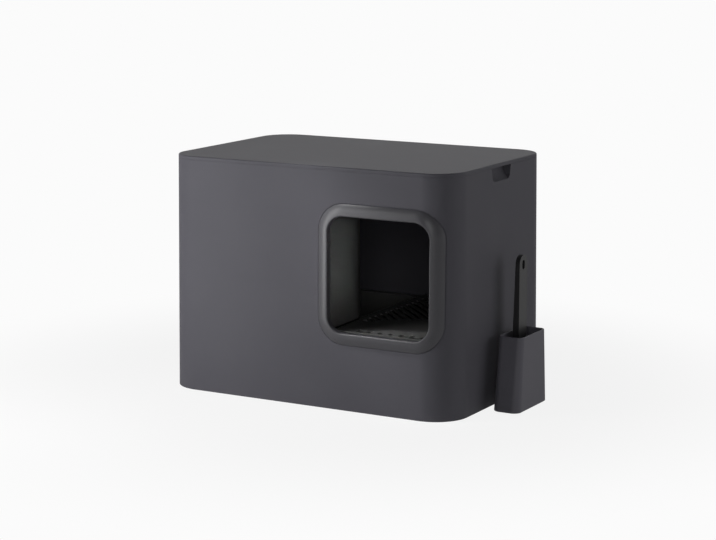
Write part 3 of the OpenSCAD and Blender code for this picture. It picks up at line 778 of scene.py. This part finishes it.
class Nodes:
    """A shader tree under construction."""

    def __init__(self, tree):
        self.tree = tree

    def node(self, kind, settings=None, sockets=None, out=0):
        """Adds a node, sets it up, fills its sockets and returns one output as a value."""
        node = self.tree.nodes.new("ShaderNode" + kind)
        for key, value in (settings or {}).items():
            setattr(node, key, value)
        for key, value in (sockets or {}).items():
            if isinstance(value, Value):
                self.tree.links.new(value.socket, node.inputs[key])
            else:
                node.inputs[key].default_value = value
        return Value(self, node.outputs[out])

    def maths(self, operation, *terms):
        return self.node("Math", {"operation": operation}, dict(enumerate(terms)))

    def ramp(self, value, low, high, to_low=0.0, to_high=1.0):
        """A value stretched smoothly from one range to another."""
        return self.node("MapRange", {"interpolation_type": "SMOOTHSTEP"}, {
            "Value": value, "From Min": low, "From Max": high, "To Min": to_low, "To Max": to_high})

    def noise(self, place, scale, detail=2.0, roughness=0.5):
        """Noise from 0 to 1, with scale in blotches a metre."""
        return self.node("TexNoise", None, {
            "Vector": place, "Scale": scale, "Detail": detail, "Roughness": roughness})

    def mix(self, share, first, second):
        """A colour between two colours."""
        return self.node("Mix", {"data_type": "RGBA"}, {0: share, 6: first, 7: second}, 2)

    def feed(self, node, socket, value):
        """Leads a value to a socket of one of the tree's standing nodes."""
        self.tree.links.new(value.socket, self.tree.nodes[node].inputs[socket])


class Finish(Nodes):
    """A material of one Principled surface and the nodes that vary it."""

    def __init__(self, name, **surface):
        self.material = bpy.data.materials.new(name)
        self.material.use_nodes = True
        super().__init__(self.material.node_tree)
        for socket, value in surface.items():
            self.tree.nodes["Principled BSDF"].inputs[socket.replace("_", " ")].default_value = value

    def feed(self, socket, value):
        super().feed("Principled BSDF", socket, value)


def grey(level, blue=1.0):
    """A charcoal colour, with a faint violet cast as blue rises above 1."""
    return (level, level * (1.2 - 0.2 * blue), level * blue, 1.0)


def moulded_plastic(name, level, rough, grain, gloss, blue):
    """Pigmented polypropylene from a spark-eroded mould: fine pits, flow marks and handling rub."""
    finish = Finish(name, Specular_IOR_Level=gloss, IOR=1.49)
    place = finish.node("TexCoord", out=3)
    pits = finish.node("TexVoronoi", {"feature": "SMOOTH_F1"}, {
        "Vector": place, "Scale": 1500.0, "Smoothness": 0.6, "Randomness": 1.0})
    fine = finish.noise(place, 3800.0, 3.0, 0.6)
    cloud = finish.noise(place, 9.0, 4.0, 0.55)
    mottle = finish.noise(place, 140.0, 3.0, 0.6)
    flow = finish.noise(finish.node("Mapping", None, {
        "Vector": place, "Scale": (1.0, 1.0, 6.0)}), 2.2, 2.0)
    tone = finish.ramp(cloud * 0.55 + mottle * 0.2 + flow * 0.25, 0.3, 0.7)
    finish.feed("Base Color", finish.mix(
        tone, grey(level * 0.965, blue), grey(level * 1.035, blue * 0.99)))
    worn = finish.ramp(cloud * 0.6 + mottle * 0.4, 0.55, 0.75)
    finish.feed("Roughness", rough + 0.05 * (mottle - 0.5) + 0.03 * (fine - 0.5) - 0.035 * worn)
    height = pits * 0.6 + fine * 0.4
    finish.feed("Normal", finish.node("Bump", None, {
        "Strength": grain, "Distance": 0.00006, "Height": height}))
    return finish.material


def zinc_plate(name):
    """Bright zinc on small screws: fine crystals, turned rings and a faint yellow bloom."""
    finish = Finish(name, Metallic=1.0)
    place = finish.node("TexCoord", out=3)
    crystals = finish.node("TexVoronoi", None, {"Vector": place, "Scale": 2600.0})
    bloom = finish.noise(place, 420.0, 3.0)
    finish.feed("Base Color", finish.mix(finish.ramp(bloom, 0.35, 0.7),
                                         (0.50, 0.51, 0.53, 1.0), (0.60, 0.575, 0.52, 1.0)))
    finish.feed("Roughness", 0.24 + 0.16 * bloom + 0.10 * crystals)
    finish.feed("Normal", finish.node("Bump", None, {
        "Strength": 0.25, "Distance": 0.00004, "Height": crystals}))
    return finish.material


def dress(piece, material, body, node):
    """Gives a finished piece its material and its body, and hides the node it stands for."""
    piece.data.materials.clear()
    piece.data.materials.append(material)
    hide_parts(node)
    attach(piece, body)
    return piece


# ---------------------------------------------------------------- the pieces

wall_plastic = moulded_plastic("wall_plastic", 0.088, 0.60, 0.30, 0.20, 1.14)
ring_plastic = moulded_plastic("ring_plastic", 0.070, 0.36, 0.14, 0.44, 1.10)
inner_plastic = moulded_plastic("inner_plastic", 0.085, 0.52, 0.22, 0.30, 1.0)
# The holder's charcoal is painted lighter than the shell's, to stand in for light on its front, which
# the box shades.
holder_plastic_painted_lighter = moulded_plastic("holder_plastic_painted_lighter", 0.125, 0.50, 0.25, 0.25, 1.14)
scoop_plastic = moulded_plastic("scoop_plastic", 0.020, 0.40, 0.18, 0.35, 1.05)
zinc = zinc_plate("zinc")

collar_places = [
    (ENTRY_X + side * (ENTRY_W / 2 - SCREW_IN), front_y(0, z) + COLLAR_BACK + SEAT, z)
    for side in (-1, 1) for z in (SILL - SCREW_OUT, SILL + ENTRY_H + SCREW_OUT)]
baffle_places = [
    (ENTRY_X - ENTRY_W / 2 - SCREW_OUT, along_baffle(0, 0).y + BAFFLE_T + SEAT, z)
    for z in (SILL + SCREW_IN, SILL + ENTRY_H - SCREW_IN)]

dress(make_shell(), wall_plastic, "shell", "outer_shell")
dress(make_lid(), wall_plastic, "lid", "lid")
dress(make_bezel(), ring_plastic, "shell", "entry_bezel")
dress(make_collar(), inner_plastic, "shell", "entry_collar")
dress(make_screws("screws_in_collar", collar_places), zinc, "shell", "collar_screws")
dress(make_baffle(), inner_plastic, "shell", "side_baffle")
dress(make_screws("screws_in_baffle", baffle_places), zinc, "shell", "baffle_screws")
dress(make_deck(), inner_plastic, "deck", "entry_deck")
dress(make_pan(), inner_plastic, "pan", "litter_pan")
# The holder's material is painted lighter than the shell's charcoal, in place of light on its shaded
# front.
dress(make_holder(), holder_plastic_painted_lighter, "holder", "scoop_holder")
dress(make_scoop(), scoop_plastic, "scoop", "scoop")

# ---------------------------------------------------------------- studio

CAMERA_AT = Vector((1.7125, -3.0177, 0.8355))
CAMERA_AIM = Vector((0.1022, -0.1796, 0.2355))
LENS = 103.54
PAPER = 0.965
BACKDROP = (-0.49, 0.87, 0.0)


def make_camera():
    """The photo's camera, solved from the box's outline."""
    camera = bpy.data.objects.new("camera", bpy.data.cameras.new("camera"))
    bpy.context.scene.collection.objects.link(camera)
    camera.location = CAMERA_AT
    camera.rotation_euler = (CAMERA_AIM - CAMERA_AT).to_track_quat("-Z", "Y").to_euler()
    camera.data.lens = LENS
    camera.data.sensor_width = 36.0
    bpy.context.scene.camera = camera


def softbox(name, at, aim, size, power, spread=180):
    """A rectangular soft light that faces a point."""
    light = bpy.data.lights.new(name, "AREA")
    light.shape, light.size, light.size_y = "RECTANGLE", size[0], size[1]
    light.energy, light.spread = power, math.radians(spread)
    lamp = bpy.data.objects.new(name, light)
    bpy.context.scene.collection.objects.link(lamp)
    lamp.location = at
    lamp.rotation_euler = (Vector(aim) - Vector(at)).to_track_quat("-Z", "Y").to_euler()


def grey_paper(level):
    """A neutral colour."""
    return (level, level, level, 1.0)


def looking(studio):
    """1 for what the camera sees, itself or through something clear."""
    return studio.maths("MAXIMUM", studio.node("LightPath", out="Is Camera Ray"),
                        studio.node("LightPath", out="Is Transmission Ray"))


def make_world(fill, room):
    """White paper all round, a dimmer room for gloss on the camera's side, and a low even fill."""
    world = bpy.data.worlds.new("studio")
    world.use_nodes = True
    bpy.context.scene.world = world
    studio = Nodes(world.node_tree)
    ahead = studio.node("VectorMath", {"operation": "DOT_PRODUCT"}, {
        0: studio.node("TexCoord"), 1: BACKDROP}, "Value")
    gloss = studio.mix(studio.ramp(ahead, -0.1, 0.4), grey_paper(room), grey_paper(PAPER))
    light = studio.mix(studio.node("LightPath", out="Is Glossy Ray"), grey_paper(fill), gloss)
    studio.feed("Background", "Color", studio.mix(looking(studio), light, grey_paper(PAPER)))


def make_floor(bounce, gloss):
    """A wide white floor: its light for the object, and a faint shadow near it for the camera."""
    floor = start("floor", bpy.ops.mesh.primitive_circle_add, vertices=96, radius=6.0,
                  fill_type="NGON", location=(0, 0, -0.0006))
    material = bpy.data.materials.new("paper")
    material.use_nodes = True
    material.node_tree.nodes.remove(material.node_tree.nodes["Principled BSDF"])
    paper = Nodes(material.node_tree)
    place = paper.node("TexCoord", out="Object")
    away = paper.node("VectorMath", {"operation": "LENGTH"}, {0: place}, "Value")
    shaded = paper.node("MixShader", None, {
        0: paper.ramp(away, 0.35, 0.9, 0.90, 1.0),
        1: paper.node("BsdfDiffuse", None, {"Color": grey_paper(0.9)}),
        2: paper.node("Emission", None, {"Color": grey_paper(PAPER)})})
    unseen = paper.node("MixShader", None, {
        0: paper.node("LightPath", out="Is Glossy Ray"),
        1: paper.node("BsdfDiffuse", None, {"Color": grey_paper(bounce)}),
        2: paper.node("Emission", None, {"Color": grey_paper(gloss)})})
    paper.feed("Material Output", "Surface", paper.node("MixShader", None, {
        0: looking(paper), 1: unseen, 2: shaded}))
    floor.data.materials.append(material)


make_camera()
make_world(0.02, 0.12)
make_floor(0.9, 0.5)
softbox("left_box", (-0.5, -0.78, 0.36), (0.0, -0.19, 0.2), (0.3, 0.9), 5.9)
softbox("front_box", (1.4, -2.4, 0.7), (0.1, -0.1, 0.2), (1.2, 1.0), 9)
softbox("right_box", (1.75, 0.35, 0.6), (0.27, 0.0, 0.2), (1.0, 1.0), 5)
softbox("back_box", (-0.9, 2.0, 1.0), (-0.05, 0.1, 0.2), (1.4, 1.0), 1.5)
# Two narrow spots, for the deck behind the sill and for the baffle.
softbox("sill_box", (-0.46, -0.56, 1.25), (0.14, -0.15, 0.13), (0.1, 0.1), 0.03, 8)
softbox("baffle_box", (1.285, -0.82, 0.40), (0.048, -0.147, 0.23), (0.03, 0.12), 0.01, 5)

bpy.context.scene.view_settings.view_transform = "Standard"
